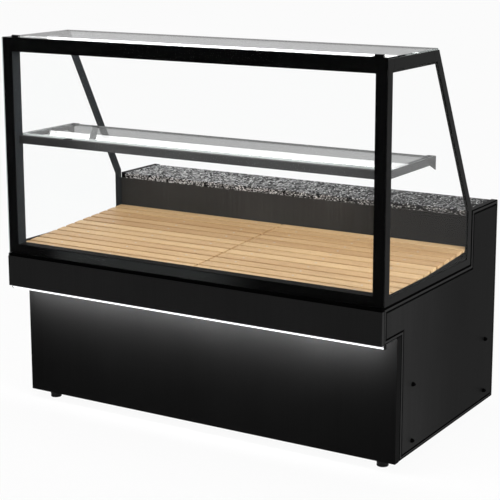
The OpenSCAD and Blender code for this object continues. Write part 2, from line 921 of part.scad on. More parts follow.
module switch_rocker() {
    h = rocker_h / 2;
    color([0.04, 0.04, 0.04]) staged() translate([switch_x, axle_y, switch_z])
        rotate([rocker_tilt, 0, 0]) {
            slice(-rocker_w / 2, rocker_w / 2, [
                [-rocker_in, -h], [rocker_out, -h], [rocker_waist, 0], [rocker_out, h], [-rocker_in, h]
            ]);
            bar_x(axle_r, -axle_l / 2, axle_l / 2, 0, 0);
        }
}

driver_w = 44;
driver_l = 115;
driver_h = 32;
driver_y = back_panel_y + board_t + 15;

module lamp_driver() {
    color([0.85, 0.85, 0.85]) staged()
        block([switch_x - driver_w / 2, driver_y, niche_z],
              [switch_x + driver_w / 2, driver_y + driver_l, niche_z + driver_h]);
}

nut_r = gland_r + 8;
nut_in = 8;
nut_out = 6;
gland_cap_r = gland_r + 6;
gland_cap_l = 10;

module gland_nut(y0, y1) {
    translate([switch_x, y0, gland_z]) rotate([-90, 0, 0]) cylinder(r = nut_r, h = y1 - y0, $fn = 6);
}

module cable_gland() {
    cap_y = cover_y + nut_out;
    color([0.06, 0.06, 0.06]) staged() difference() {
        union() {
            gland_nut(switch_y - nut_in, switch_y);
            bar_y(gland_body_r, switch_y, cover_y, switch_x, gland_z);
            gland_nut(cover_y, cap_y);
            bar_y(gland_cap_r, cap_y, cap_y + gland_cap_l, switch_x, gland_z);
        }
        bar_y(gland_r, switch_y - nut_in - past, cap_y + gland_cap_l + past, switch_x, gland_z);
    }
}

// Feet that screw out of plates under the bottom board
boss_r = 10;
boss_low = foot_h + 4;
foot_chamfer = 3;
stem_top = bottom_z + bottom_t - 6;
foot_plate_w = 50;

module foot(x, y) {
    color([0.05, 0.05, 0.05]) staged() translate([x, y, 0]) {
        rotate_extrude() polygon([
            [0, 0], [foot_r - foot_chamfer, 0], [foot_r, foot_chamfer], [foot_r, foot_h], [0, foot_h]
        ]);
        cylinder(r = stem_r, h = stem_top);
    }
}

module foot_front_left() {
    foot(-foot_x, foot_y[0]);
}

module foot_front_right() {
    foot(foot_x, foot_y[0]);
}

module foot_rear_left() {
    foot(-foot_x, foot_y[1]);
}

module foot_rear_right() {
    foot(foot_x, foot_y[1]);
}

module foot_plates() {
    reach = foot_plate_w / 2;
    color([0.6, 0.6, 0.62]) staged() for (x = [-foot_x, foot_x], y = foot_y) difference() {
        union() {
            block([x - reach, y - reach, bottom_z - plate_t], [x + reach, y + reach, bottom_z]);
            bar_z(boss_r, boss_low, bottom_z - plate_t, x, y);
        }
        bar_z(stem_r + pin_fit, boss_low - past, bottom_z + past, x, y);
    }
}

side_panel_left();
side_panel_right();
side_trims();
side_bolts();
bottom_board();
mid_board();
plinth_panel();
plinth_seals();
front_beam();
apron();
sill_gasket();
front_sill();
side_sills();
front_posts();
front_top_rail();
side_top_rails();
rear_posts();
side_glasses();
top_glass();
front_glass();
front_glass_border();
glass_hinge_leaves();
glass_hinge_bases();
glass_hinge_pins();
front_seal();
shelf_bar();
shelf_arms();
shelf_glass();
shelf_stops();
top_lamp_housing();
top_lamp_cover();
strip_channel();
strip_cover();
deck_bearers();
deck_grate_left();
deck_grate_right();
crumb_tray_left();
crumb_tray_right();
tray_runners();
rear_niche();
worktop_rail();
worktop();
inner_back_panel();
divider();
storage_shelves();
door_left();
door_right();
door_pull_left();
door_pull_right();
door_pivots();
switch_panel();
switch_rocker();
lamp_driver();
cable_gland();
foot_front_left();
foot_front_right();
foot_rear_left();
foot_rear_right();
foot_plates();
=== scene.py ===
"""Looks of a bread counter: a black base cabinet under a glass display, with a stone worktop behind it.

The sections follow the counter as it is put together, from its feet to its lamps. The studio comes last.
"""

import json
import math

import bmesh
import bpy
from mathutils import Matrix, Vector

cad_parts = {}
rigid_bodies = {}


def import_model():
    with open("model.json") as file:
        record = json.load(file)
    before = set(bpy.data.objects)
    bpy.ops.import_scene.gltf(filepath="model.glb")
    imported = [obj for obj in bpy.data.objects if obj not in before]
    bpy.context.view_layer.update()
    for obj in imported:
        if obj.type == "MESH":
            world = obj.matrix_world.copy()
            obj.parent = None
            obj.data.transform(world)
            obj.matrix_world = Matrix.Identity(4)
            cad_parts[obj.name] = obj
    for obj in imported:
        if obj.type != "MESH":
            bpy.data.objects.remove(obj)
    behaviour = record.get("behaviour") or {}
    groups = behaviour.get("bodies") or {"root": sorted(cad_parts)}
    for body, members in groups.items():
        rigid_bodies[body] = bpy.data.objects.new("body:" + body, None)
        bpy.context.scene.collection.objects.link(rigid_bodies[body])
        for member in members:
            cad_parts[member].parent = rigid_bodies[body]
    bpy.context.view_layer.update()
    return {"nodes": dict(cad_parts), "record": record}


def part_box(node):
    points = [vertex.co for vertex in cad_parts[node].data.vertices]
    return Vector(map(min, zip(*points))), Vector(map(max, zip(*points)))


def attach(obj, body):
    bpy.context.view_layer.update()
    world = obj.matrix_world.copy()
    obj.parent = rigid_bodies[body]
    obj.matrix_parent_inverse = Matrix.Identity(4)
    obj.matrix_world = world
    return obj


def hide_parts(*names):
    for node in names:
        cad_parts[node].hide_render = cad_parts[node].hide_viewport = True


for leftover in list(bpy.data.objects):
    bpy.data.objects.remove(leftover)

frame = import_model()

# Levelling feet
# Four moulded black plastic feet with a ribbed grip, a round-edged sole and a zinc-plated threaded stem,
# screwed into the bosses of steel plates under the bottom board.

MM = 0.001
body_of = {node: body for body, nodes in frame["record"]["behaviour"]["bodies"].items() for node in nodes}


class Wire:
    """A value on its way through a shader, which can be written into sums and products."""

    def __init__(self, nodes, socket):
        self.nodes = nodes
        self.socket = socket

    def maths(self, operation, *values):
        return self.nodes.node("ShaderNodeMath", {"operation": operation}, dict(enumerate(values)))

    def __add__(self, other):
        return self.maths("ADD", self, other)

    def __sub__(self, other):
        return self.maths("SUBTRACT", self, other)

    def __rsub__(self, other):
        return self.maths("SUBTRACT", other, self)

    def __mul__(self, other):
        return self.maths("MULTIPLY", self, other)

    def __gt__(self, other):
        return self.maths("GREATER_THAN", self, other)

    def __lt__(self, other):
        return self.maths("LESS_THAN", self, other)

    def __abs__(self):
        return self.maths("ABSOLUTE", self)

    __radd__ = __add__
    __rmul__ = __mul__

    def at_most(self, limit):
        return self.maths("MINIMUM", self, limit)

    def between(self, low, high):
        """0 below low and 1 above high, with a smooth rise."""
        limits = {"Value": self, "From Min": low, "From Max": high}
        return self.nodes.node("ShaderNodeMapRange", {"interpolation_type": "SMOOTHSTEP"}, limits)


class Nodes:
    """The nodes of a material or of the world."""

    def __init__(self, tree):
        self.tree = tree

    def node(self, kind, settings=None, values=None, out=0):
        """Adds a node with its settings and the values or links of its sockets, and gives one output."""
        made = self.tree.nodes.new(kind)
        for key, value in (settings or {}).items():
            setattr(made, key, value)
        for key, value in (values or {}).items():
            self.feed(made.inputs[key], value)
        return Wire(self, made.outputs[out])

    def vectors(self, operation, first, second, out=0):
        """Vector Math on two places, directions or shares."""
        return self.node("ShaderNodeVectorMath", {"operation": operation}, {0: first, 1: second}, out)

    def feed(self, socket, value):
        if isinstance(value, Wire):
            self.tree.links.new(value.socket, socket)
        elif socket.type == "RGBA":
            socket.default_value = (*value, 1)
        else:
            socket.default_value = value


class Finish(Nodes):
    """A material for one kind of surface, with places on it in metres that stay on the piece."""

    def __init__(self, name, constants):
        self.material = bpy.data.materials.new(name)
        self.material.use_nodes = True
        super().__init__(self.material.node_tree)
        self.shader = self.tree.nodes["Principled BSDF"]
        for key, value in constants.items():
            self.feed(self.shader.inputs[key], value)
        self.place = self.node("ShaderNodeTexCoord", out="Object")

    def set(self, key, value):
        self.feed(self.shader.inputs[key], value)

    def show(self, shader):
        """Makes another shader the one that is seen."""
        self.feed(self.tree.nodes["Material Output"].inputs["Surface"], shader)

    def noise(self, size, along=(1, 1, 1), detail=2.0, rough=0.5):
        """Noise with grains of a size in metres, drawn out along an axis whose share is small."""
        per_metre = tuple(share / size for share in along)
        where = self.vectors("MULTIPLY", self.place, per_metre)
        values = {"Vector": where, "Scale": 1.0, "Detail": detail, "Roughness": rough}
        return self.node("ShaderNodeTexNoise", {}, values)

    def along(self, axis):
        """The place along one axis of the piece, in metres."""
        return self.node("ShaderNodeSeparateXYZ", {}, {0: self.place}, out=axis)

    def mix(self, share, first, second):
        """A colour between two, by a share from 0 to 1."""
        return self.node("ShaderNodeMix", {"data_type": "RGBA"}, {0: share, 6: first, 7: second}, out=2)

    def bump(self, height, depth):
        values = {"Height": height, "Distance": depth, "Strength": 1.0}
        self.set("Normal", self.node("ShaderNodeBump", {}, values))

    def edges(self, reach):
        """1 on edges, falling to 0 within a reach in metres."""
        rounded = self.node("ShaderNodeBevel", {"samples": 4}, {"Radius": reach})
        flat = self.node("ShaderNodeNewGeometry", out="Normal")
        return (1 - self.vectors("DOT_PRODUCT", rounded, flat, out="Value")).between(0.01, 0.25)

    def between_sides(self, inner, outer):
        """1 between two distances in x from the counter's middle."""
        out = abs(self.along("X"))
        return (out > inner) * (out < outer)

    def facing(self, axis):
        """How far the surface faces along an axis of the piece, from 0 to 1."""
        normal = self.node("ShaderNodeTexCoord", out="Normal")
        return abs(self.vectors("DOT_PRODUCT", normal, axis, out="Value"))


def seat(bm, name, finish, like, *stands_for):
    """Makes a piece of a bmesh. It rides on the body of a node, and may stand for it and others."""
    bmesh.ops.recalc_face_normals(bm, faces=bm.faces)
    mesh = bpy.data.meshes.new(name)
    bm.to_mesh(mesh)
    bm.free()
    mesh.materials.append(finish.material)
    mesh.polygons.foreach_set("use_smooth", [True] * len(mesh.polygons))
    mesh.set_sharp_from_angle(angle=math.radians(40))
    piece = bpy.data.objects.new(name, mesh)
    bpy.context.scene.collection.objects.link(piece)
    piece.modifiers.new("even", "WEIGHTED_NORMAL").keep_sharp = True
    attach(piece, body_of[like])
    if stands_for:
        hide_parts(*stands_for)
    return piece


def eased(node, finish, ease, shy=0.0):
    """The node's own form with its sharp edges eased, and held back by shy from what it touches."""
    bm = bmesh.new()
    bm.from_mesh(frame["nodes"][node].data)
    bmesh.ops.remove_doubles(bm, verts=bm.verts, dist=0.002 * MM)
    bmesh.ops.dissolve_limit(bm, angle_limit=math.radians(0.5), verts=bm.verts, edges=bm.edges)
    sharp = [e for e in bm.edges if len(e.link_faces) == 2 and e.calc_face_angle() > math.radians(28)]
    bmesh.ops.bevel(bm, geom=sharp, offset=ease, segments=2, profile=0.5, affect="EDGES", clamp_overlap=True)
    if shy:
        low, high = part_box(node)
        for vert in bm.verts:
            for axis in range(3):
                middle = (low[axis] + high[axis]) / 2
                half = (high[axis] - low[axis]) / 2
                vert.co[axis] = middle + (vert.co[axis] - middle) * (1 - shy / half)
    return seat(bm, f"{node}_eased", finish, node, node)


def skin(bm, rings):
    """Joins each ring of vertices to the next one with faces."""
    for lower, upper in zip(rings, rings[1:]):
        for step in range(len(lower)):
            bm.faces.new((lower[step - 1], lower[step], upper[step], upper[step - 1]))


def lathe(bm, outline, place, steps=48, hollow=False):
    """Adds a turned form. Its outline is a list of radius, height and, where it isn't round, a shape."""
    rings = []
    for radius, height, *shape in outline:
        ring = []
        for step in range(steps):
            turn = 2 * math.pi * step / steps
            reach = radius * (shape[0](turn) if shape else 1)
            spot = Vector((reach * math.cos(turn), reach * math.sin(turn), height))
            ring.append(bm.verts.new(place @ spot))
        rings.append(ring)
    if hollow:
        rings.append(rings[0])
    else:
        bm.faces.new(rings[0])
        bm.faces.new(rings[-1])
    skin(bm, rings)


def fluted(turn):
    """The grip's shallow flutes."""
    return 1 - 0.035 * (math.cos(24 * turn) > 0)


def hexagon(turn):
    """A hexagon inside the circle."""
    return math.cos(math.pi / 6) / math.cos(turn % (math.pi / 3) - math.pi / 6)


moulded = Finish("moulded_black_plastic", {"Specular IOR Level": 0.08})
moulded_grain = moulded.noise(0.7 * MM, detail=3.0)
moulded.set("Base Color", moulded.mix(moulded.noise(30 * MM), (0.009, 0.009, 0.010), (0.016, 0.016, 0.017)))
moulded.set("Roughness", 0.42 + 0.2 * moulded_grain)
moulded.bump(moulded_grain, 0.08 * MM)

zinc = Finish("zinc_plated_steel", {"Metallic": 1.0})
zinc_cloud = zinc.noise(9 * MM, detail=4.0)
zinc.set("Base Color", zinc.mix(zinc_cloud, (0.42, 0.43, 0.45), (0.66, 0.66, 0.64)))
zinc.set("Roughness", 0.24 + 0.28 * zinc_cloud)
zinc.bump(zinc.noise(0.8 * MM), 0.02 * MM)

FOOT_TOP = 40 * MM
SOLE = 5 * MM
STEM_TOP = 84 * MM
THREAD = 1.5 * MM
THREAD_CREST = 4.95 * MM
THREAD_ROOT = 4.4 * MM
foot_outline = [
    (17 * MM, 0), (19.2 * MM, 0.8 * MM), (20 * MM, 3 * MM), (20 * MM, SOLE),
    (18.4 * MM, SOLE + 0.6 * MM), (18.4 * MM, SOLE + 2.4 * MM), (19 * MM, SOLE + 3 * MM, fluted),
    (20 * MM, SOLE + 5 * MM, fluted), (20 * MM, FOOT_TOP - 7 * MM, fluted),
    (19 * MM, FOOT_TOP - 5 * MM, fluted), (16.5 * MM, FOOT_TOP - 3.4 * MM),
    (15 * MM, FOOT_TOP - 3 * MM, hexagon), (15 * MM, FOOT_TOP, hexagon),
]
stem_outline = [
    (THREAD_CREST if turn % 2 else THREAD_ROOT, FOOT_TOP + turn * THREAD / 2)
    for turn in range(int((STEM_TOP - FOOT_TOP) / THREAD * 2))
]
for foot in ("foot_front_left", "foot_front_right", "foot_rear_left", "foot_rear_right"):
    foot_low, foot_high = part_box(foot)
    foot_place = Matrix.Translation(((foot_low.x + foot_high.x) / 2, (foot_low.y + foot_high.y) / 2, 0))
    foot_mesh = bmesh.new()
    lathe(foot_mesh, foot_outline, foot_place, steps=96)
    seat(foot_mesh, f"{foot}_body", moulded, foot, foot)
    stem_mesh = bmesh.new()
    lathe(stem_mesh, stem_outline, foot_place, steps=24)
    seat(stem_mesh, f"{foot}_stem", zinc, foot)
eased("foot_plates", zinc, 0.4 * MM)

# Boards of the base cabinet
# Laminated chipboard, glued and dowelled: the bottom board, the middle board, the divider, the storage
# shelves, the beam behind the apron and the plinth panel, whose front shows under the apron.


def grey(level):
    """A neutral colour."""
    return (level, level, level)


BLACK = grey(0.0006)


def black_board(name, dark, light, shine, rough=0.5, groove=None, pale_end=None):
    """Black laminate with faint upright streaks, a fine pressed grain and slightly rubbed edges. It may have
    a groove painted black as painted shade, between two distances from the counter's middle, and a paler
    tone that fades out along an axis from one place to another."""
    board = Finish(name, {"Specular IOR Level": shine})
    streaks = board.noise(5 * MM, along=(1, 1, 0.015), detail=3.0)
    clouds = board.noise(260 * MM, detail=2.0)
    tone = (0.65 * streaks + 0.6 * clouds).between(0.35, 0.9)
    rubbed = board.edges(1.6 * MM) * 0.5
    rubbed_tone = tuple(2.4 * share for share in light)
    shade = board.mix(tone, dark, light)
    if pale_end:
        axis, start, end, pale_dark, pale_light = pale_end
        past_it = board.along(axis).between(start, end)
        shade = board.mix(past_it, board.mix(tone, pale_dark, pale_light), shade)
    shade = board.mix(rubbed, shade, rubbed_tone)
    if groove:
        shade = board.mix(board.between_sides(*groove), shade, BLACK)
    board.set("Base Color", shade)
    grain = board.noise(0.9 * MM, along=(1, 1, 0.35), detail=3.0)
    board.set("Roughness", rough + 0.16 * (grain - 0.5) + 0.10 * (clouds - 0.5))
    board.bump(grain, 0.05 * MM)
    return board


# Painted shade: the plinth under the apron's overhang has a darker copy of the black laminate.
shaded_plinth_face = black_board("plinth_laminate_shaded", grey(0.0034), grey(0.0052), 0.010)
inner_face = black_board("inner_laminate", grey(0.018), (0.028, 0.028, 0.027), 0.06, 0.45)
eased("plinth_panel", shaded_plinth_face, 0.6 * MM)
for board_node in ("bottom_board", "mid_board", "divider", "storage_shelves", "front_beam"):
    eased(board_node, inner_face, 0.4 * MM)

# Side panels
# Boards with a raised laminated infill, framed by a black extruded trim with one ridge between two lower
# steps. The trim is mitred at its corners and butted once in its lower length.

HALF_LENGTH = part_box("apron")[1].x
# Painted shade: the side panels are black in their groove, between these distances from the middle.
SHADED_GROOVE = (HALF_LENGTH - 5.6 * MM, HALF_LENGTH - 4 * MM)
# Painted sheen: the side panels are paler at the front and grow darker towards the rear.
painted_sheen_front = ("Y", -0.40, 0.20, grey(0.017), grey(0.026))
side_face = black_board("side_laminate", grey(0.0060), grey(0.0095), 0.012, 0.5, SHADED_GROOVE, painted_sheen_front)
for panel in ("side_panel_left", "side_panel_right"):
    eased(panel, side_face, 0.7 * MM)


def powder_coat(name, dark, light, shine, rough=0.42, shaded=None):
    """Black powder coat: an even colour with a soft orange peel and lighter, rubbed edges. A test of the
    place may pick out faces that are of a second colour."""
    coat = Finish(name, {"Specular IOR Level": shine})
    clouds = coat.noise(180 * MM, detail=2.0)
    rubbed = coat.edges(1.2 * MM) * 0.6
    rubbed_tone = tuple(2.6 * share for share in light)
    colour = coat.mix(rubbed, coat.mix(clouds, dark, light), rubbed_tone)
    if shaded:
        test, second = shaded
        colour = coat.mix(test(coat), colour, second)
    coat.set("Base Color", colour)
    peel = coat.noise(1.3 * MM, detail=2.0)
    coat.set("Roughness", rough + 0.14 * (peel - 0.5) + 0.08 * (clouds - 0.5))
    coat.bump(peel, 0.06 * MM)
    return coat


BACK_PANEL_SET = 8 * MM
trim_low, trim_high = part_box("side_trims")
apron_low, apron_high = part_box("apron")
panel_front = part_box("plinth_seals")[1].y
raised_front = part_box("inner_back_panel")[0].y + BACK_PANEL_SET
low_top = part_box("front_beam")[1].z


def side_outline(inset):
    """Corners of a side panel in y and z, moved inwards."""
    return [
        (panel_front + inset, trim_low.z + inset), (panel_front + inset, apron_low.z + inset),
        (apron_high.y + inset, apron_low.z + inset), (apron_high.y + inset, low_top - inset),
        (raised_front + inset, low_top - inset), (raised_front + inset, trim_high.z - inset),
        (trim_high.y - inset, trim_high.z - inset), (trim_high.y - inset, trim_low.z + inset),
    ]


def carve(piece, low, high):
    """Cuts a box between two corners out of a piece."""
    cutter = bpy.data.objects.new("cutter", bpy.data.meshes.new("cutter"))
    bpy.context.scene.collection.objects.link(cutter)
    block = bmesh.new()
    size = Vector(high) - Vector(low)
    where = Matrix.Translation((Vector(low) + Vector(high)) / 2) @ Matrix.Diagonal((*size, 1))
    bmesh.ops.create_cube(block, size=1, matrix=where)
    block.to_mesh(cutter.data)
    block.free()
    cut = piece.modifiers.new("cut", "BOOLEAN")
    cut.operation = "DIFFERENCE"
    cut.solver = "EXACT"
    cut.object = cutter
    bpy.context.view_layer.update()
    shaped = piece.evaluated_get(bpy.context.evaluated_depsgraph_get())
    shape = bpy.data.meshes.new_from_object(shaped)
    piece.modifiers.remove(cut)
    piece.data = shape
    bpy.data.objects.remove(cutter)


STEP_DROP = 1.2 * MM
OUTER_STEP = 7 * MM


def painted_shade_on_trim(coat):
    """Painted shade: the steps on both sides of the ridge, and the outer half of the trim at the floor and
    at the rear.
    """
    outer = (coat.along("Z") < trim_low.z + OUTER_STEP) + (coat.along("Y") > trim_high.y - OUTER_STEP)
    return (coat.between_sides(0, HALF_LENGTH - STEP_DROP) + outer).between(0, 0.5)


# Painted shade: the trim is black on its steps and on its outer half at the floor and rear.
trim_finish = powder_coat("trim_powder_coat", grey(0.030), grey(0.040), 0.002, 0.36, (painted_shade_on_trim, BLACK))
TRIM_PROUD = 5 * MM
trim_profile = [
    (0, 0), (0, 2.2), (0.6, 2.8), (3.8, 2.8), (4.1, 4.4), (4.7, 5),
    (10.4, 5), (11, 4.4), (11.3, 2.8), (12.4, 2.8), (13, 2.2), (13, 0),
]
trim_mesh = bmesh.new()
for side in (-1, 1):
    hoops = []
    for inset, proud in trim_profile:
        reach = side * (trim_high.x - TRIM_PROUD + proud * MM)
        hoops.append([trim_mesh.verts.new((reach, y, z)) for y, z in side_outline(inset * MM)])
    skin(trim_mesh, hoops + hoops[:1])
trims = seat(trim_mesh, "side_trims_ridged", trim_finish, "side_trims", "side_trims")

# The butt seam, cut through the trim at the floor. The trim is shaded flat after it.
SEAM = 0.8 * MM
SEAM_HIGH = 14 * MM
SEAM_TO_REAR = 235 * MM
PAST = 1 * MM
seam_y = trim_high.y - SEAM_TO_REAR
trims.modifiers.clear()
carve(trims, (-1, seam_y, trim_low.z - PAST), (1, seam_y + SEAM, trim_low.z + SEAM_HIGH))
trims.data.polygons.foreach_set("use_smooth", [False] * len(trims.data.polygons))

# Side bolts
# Black button-head screws with a hexagon socket and a washer. They hold the bottom board and the
# storage shelves, four on each side.


def cap_screw(bm, place, radius, height, shank=0.0):
    """Adds a domed screw head with a hexagon socket, standing up along z, and its shank below it."""
    head = [
        (radius, 0), (radius, 0.14 * height), (0.93 * radius, 0.18 * height), (0.93 * radius, 0.42 * height),
        (0.84 * radius, 0.68 * height), (0.68 * radius, 0.88 * height), (0.52 * radius, height),
        (0.44 * radius, height, hexagon), (0.42 * radius, 0.94 * height, hexagon),
        (0.42 * radius, 0.45 * height, hexagon),
    ]
    stem = [(0.5 * radius, -shank), (0.5 * radius, 0)] if shank else []
    lathe(bm, stem + head, place, steps=24)


BOLT_RADIUS = 7.5 * MM
BOLT_SHANK = 49 * MM
FRONT_BOLT = 87 * MM
bolt_low, bolt_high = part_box("side_bolts")
bolt_proud = bolt_high.x - trim_high.x
bolt_black = powder_coat("bolt_black_oxide", BLACK, grey(0.0012), 0.01, 0.5)
bolt_mesh = bmesh.new()
for side in (-1, 1):
    outwards = Matrix.Rotation(side * math.pi / 2, 4, "Y")
    for y in (panel_front + FRONT_BOLT, bolt_high.y - BOLT_RADIUS):
        for z in (bolt_low.z + BOLT_RADIUS, bolt_high.z - BOLT_RADIUS):
            stand = Matrix.Translation((side * trim_high.x, y, z)) @ outwards
            cap_screw(bolt_mesh, stand, BOLT_RADIUS, bolt_proud, BOLT_SHANK)
seat(bolt_mesh, "side_bolts_socketed", bolt_black, "side_bolts", "side_bolts")

# Seals
# Soft black rubber strips under the display's frame and behind the front glass, darkened further as painted
# shade for the gaps they fill, and strips of dark grey plastic between the plinth and the side panels.

# Painted shade: the rubber is darker than black rubber is, to stand for the shade in the gaps the seals
# fill.
gap_shade_rubber = Finish("soft_rubber_gap_shade", {"Specular IOR Level": 0.002})
rubber_dust = gap_shade_rubber.noise(14 * MM, detail=5.0)
gap_shade_rubber.set("Base Color", gap_shade_rubber.mix(rubber_dust, BLACK, grey(0.0018)))
gap_shade_rubber.set("Roughness", 0.7 + 0.25 * rubber_dust)
gap_shade_rubber.bump(gap_shade_rubber.noise(0.5 * MM), 0.05 * MM)
for seal in ("sill_gasket", "front_seal"):
    eased(seal, gap_shade_rubber, 0.5 * MM)
grey_plastic = powder_coat("grey_plastic", grey(0.006), grey(0.009), 0.01, 0.5)
eased("plinth_seals", grey_plastic, 0.5 * MM)

# Apron
# The deep black board along the customers' edge, laminated on its face and screwed to the beam.

apron_face = black_board("apron_laminate", grey(0.0065), grey(0.0090), 0.06, 0.42)
eased("apron", apron_face, 0.8 * MM)

# Strip lamp
# An aluminium channel screwed under the middle board just behind the apron, with a round opal cover
# that washes the plinth with light and a small end cap at each end.

anodised = Finish("anodised_aluminium", {"Metallic": 1.0})
drawn = anodised.noise(0.35 * MM, along=(0.012, 1, 1), detail=3.0)
anodised.set("Base Color", anodised.mix(drawn, (0.50, 0.50, 0.51), (0.68, 0.68, 0.69)))
anodised.set("Roughness", 0.26 + 0.2 * drawn)
anodised.bump(drawn, 0.02 * MM)


def opal(name, strength, dim, bright):
    """Opal plastic lit from behind, with a faint mottle in its colour and its glow."""
    cover = Finish(name, {"Specular IOR Level": 0.4, "Emission Strength": strength})
    mottle = cover.noise(9 * MM, along=(1, 0.2, 0.2), detail=1.0)
    cover.set("Base Color", cover.mix(mottle, (0.80, 0.80, 0.79), (0.88, 0.88, 0.87)))
    cover.set("Emission Color", cover.mix(mottle, dim, bright))
    cover.set("Roughness", 0.28 + 0.12 * mottle)
    return cover


strip_glow = opal("strip_lamp_opal", 1.0, (0.93, 0.95, 1.0), (1.0, 1.0, 1.0))
eased("strip_channel", anodised, 0.2 * MM)
eased("strip_cover", strip_glow, 0.2 * MM)
CAP_WALL = 1.5 * MM
CAP_EASE = 0.4 * MM
CAP_STEPS = 16
cover_low, cover_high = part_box("strip_cover")
cover_radius = (cover_high.y - cover_low.y) / 2
cap_axis_y = (cover_low.y + cover_high.y) / 2
cap_axis_z = cover_low.z + cover_radius


def cap_outline(shy):
    """A half round below the lamp's middle and a square above it, up to the board."""
    radius = cover_radius + CAP_WALL - shy
    outline = []
    for step in range(CAP_STEPS + 1):
        turn = math.pi * (1 + step / CAP_STEPS)
        outline.append((cap_axis_y + radius * math.cos(turn), cap_axis_z + radius * math.sin(turn)))
    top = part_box("strip_channel")[1].z - shy
    return outline + [(cap_axis_y + radius, top), (cap_axis_y - radius, top)]


cap_mesh = bmesh.new()
for side in (-1, 1):
    hoops = []
    for reach, shy in ((cover_high.x, 0), (HALF_LENGTH - CAP_EASE, 0), (HALF_LENGTH, CAP_EASE)):
        hoops.append([cap_mesh.verts.new((side * reach, y, z)) for y, z in cap_outline(shy)])
    skin(cap_mesh, hoops)
    cap_mesh.faces.new(hoops[0])
    cap_mesh.faces.new(hoops[-1])
seat(cap_mesh, "strip_end_caps", grey_plastic, "strip_channel")

# Crumb trays
# Folded and brushed stainless trays under the deck. They run on plastic strips and are pulled out by a
# folded lip at the staff's side. Three bearers stand between and beside them.

brushed = Finish("brushed_stainless", {"Metallic": 1.0, "Anisotropic": 0.4})
hairlines = brushed.noise(0.5 * MM, along=(0.01, 1, 1), detail=4.0)
smudge = brushed.noise(90 * MM, detail=4.0)
brushed.set("Base Color", brushed.mix(hairlines, (0.24, 0.24, 0.237), (0.40, 0.40, 0.39)))
brushed.set("Roughness", 0.24 + 0.16 * hairlines + 0.18 * smudge)
brushed.bump(hairlines + 0.6 * smudge, 0.05 * MM)
for tray in ("crumb_tray_left", "crumb_tray_right"):
    eased(tray, brushed, 0.5 * MM)
eased("tray_runners", moulded, 0.5 * MM)
eased("deck_bearers", inner_face, 0.5 * MM)

# Bread deck
# Two grates of oiled beech slats on battens, each slat screwed down from above. They slope down to the
# customers and let crumbs fall through to the trays.

SLAT = Vector((738, 42, 12)) * MM
SLAT_EASE = 2.2 * MM
SLAT_PITCH = 52 * MM
SLATS = 12
BATTEN_W = 30 * MM
BATTEN_H = 10 * MM
BATTEN_EASE = 1.0 * MM
FIRST_BATTEN = 18 * MM
BATTEN_SPAN = 669 * MM
BATTEN_SHARES = (0.12, 0.5, 0.88)
DECK_SPLIT = 3 * MM
DECK_FRONT_GAP = 2 * MM
DECK_REAR_GAP = 3 * MM
DECK_Z = 600 * MM
DECK_RISE = 40 * MM
SCREW_SUNK = 0.5 * MM
deck_start = Vector((DECK_SPLIT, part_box("front_posts")[1].y + DECK_FRONT_GAP, DECK_Z))
deck_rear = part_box("inner_back_panel")[0].y - DECK_REAR_GAP
deck_slope = math.atan2(DECK_RISE, deck_rear - deck_start.y)
deck_length = (deck_rear - deck_start.y) / math.cos(deck_slope)
slat_first = (deck_length - SLATS * SLAT_PITCH + SLAT_PITCH - SLAT.y) / 2
slat_last = slat_first + SLATS * SLAT_PITCH - SLAT_PITCH + SLAT.y


def plank(bm, low, high, ease, place=None):
    """Adds a bar between two corners, with eased edges."""
    bar = bmesh.new()
    low, high = Vector(low), Vector(high)
    where = Matrix.Translation((low + high) / 2) @ Matrix.Diagonal((*(high - low), 1))
    bmesh.ops.create_cube(bar, size=1, matrix=where)
    bmesh.ops.bevel(bar, geom=bar.edges[:], offset=ease, segments=3, profile=0.5, affect="EDGES")
    if place:
        bmesh.ops.transform(bar, matrix=place, verts=bar.verts)
    mesh = bpy.data.meshes.new("bar")
    bar.to_mesh(mesh)
    bar.free()
    bm.from_mesh(mesh)
    bpy.data.meshes.remove(mesh)


beech = Finish("oiled_beech", {"Specular IOR Level": 0.35})
one_slat = beech.node("ShaderNodeNewGeometry", out="Random Per Island")
rings = beech.noise(9 * MM, along=(0.02, 1, 0.5), detail=3.0, rough=0.6)
figure = beech.noise(45 * MM, along=(0.12, 1, 1), detail=2.0)
flecks = beech.noise(1.1 * MM, along=(0.12, 1, 1), detail=2.0).between(0.60, 0.70)
wood_tone = (0.5 * rings + 0.35 * figure + 0.3 * one_slat).between(0.25, 0.9)
wood = beech.mix(wood_tone, (0.40, 0.225, 0.095), (0.66, 0.45, 0.235))
beech.set("Base Color", beech.mix(flecks * 0.45, wood, (0.26, 0.135, 0.055)))
beech.set("Roughness", 0.46 + 0.2 * (rings - 0.5) + 0.15 * flecks)
beech.bump(rings - 0.5 * flecks, 0.12 * MM)

screw_mesh = bmesh.new()
for side, grate in ((-1, "deck_grate_left"), (1, "deck_grate_right")):
    grate_mesh = bmesh.new()
    lie = Matrix.Translation((0, deck_start.y, deck_start.z)) @ Matrix.Rotation(deck_slope, 4, "X")
    near, far = sorted((side * deck_start.x, side * (deck_start.x + SLAT.x)))
    for index in range(SLATS):
        front = slat_first + index * SLAT_PITCH
        plank(grate_mesh, (near, front, -SLAT.z), (far, front + SLAT.y, 0), SLAT_EASE, lie)
    for share in BATTEN_SHARES:
        middle = side * (deck_start.x + FIRST_BATTEN + BATTEN_SPAN * share)
        batten_low = (middle - BATTEN_W / 2, slat_first, -SLAT.z - BATTEN_H)
        plank(grate_mesh, batten_low, (middle + BATTEN_W / 2, slat_last, -SLAT.z), BATTEN_EASE, lie)
        for index in range(SLATS):
            head = (middle, slat_first + index * SLAT_PITCH + SLAT.y / 2, -SCREW_SUNK)
            cap_screw(screw_mesh, lie @ Matrix.Translation(head), 3.6 * MM, 1.0 * MM)
    seat(grate_mesh, f"{grate}_slats", beech, grate, grate)
seat(screw_mesh, "deck_screws", zinc, "deck_bearers")

# Wall behind the deck and the niche below the worktop
# Laminated boards: the inner back panel, paler towards its left end, the niche's floor with its
# partitions, and a steel rail that carries the worktop's rear edge.

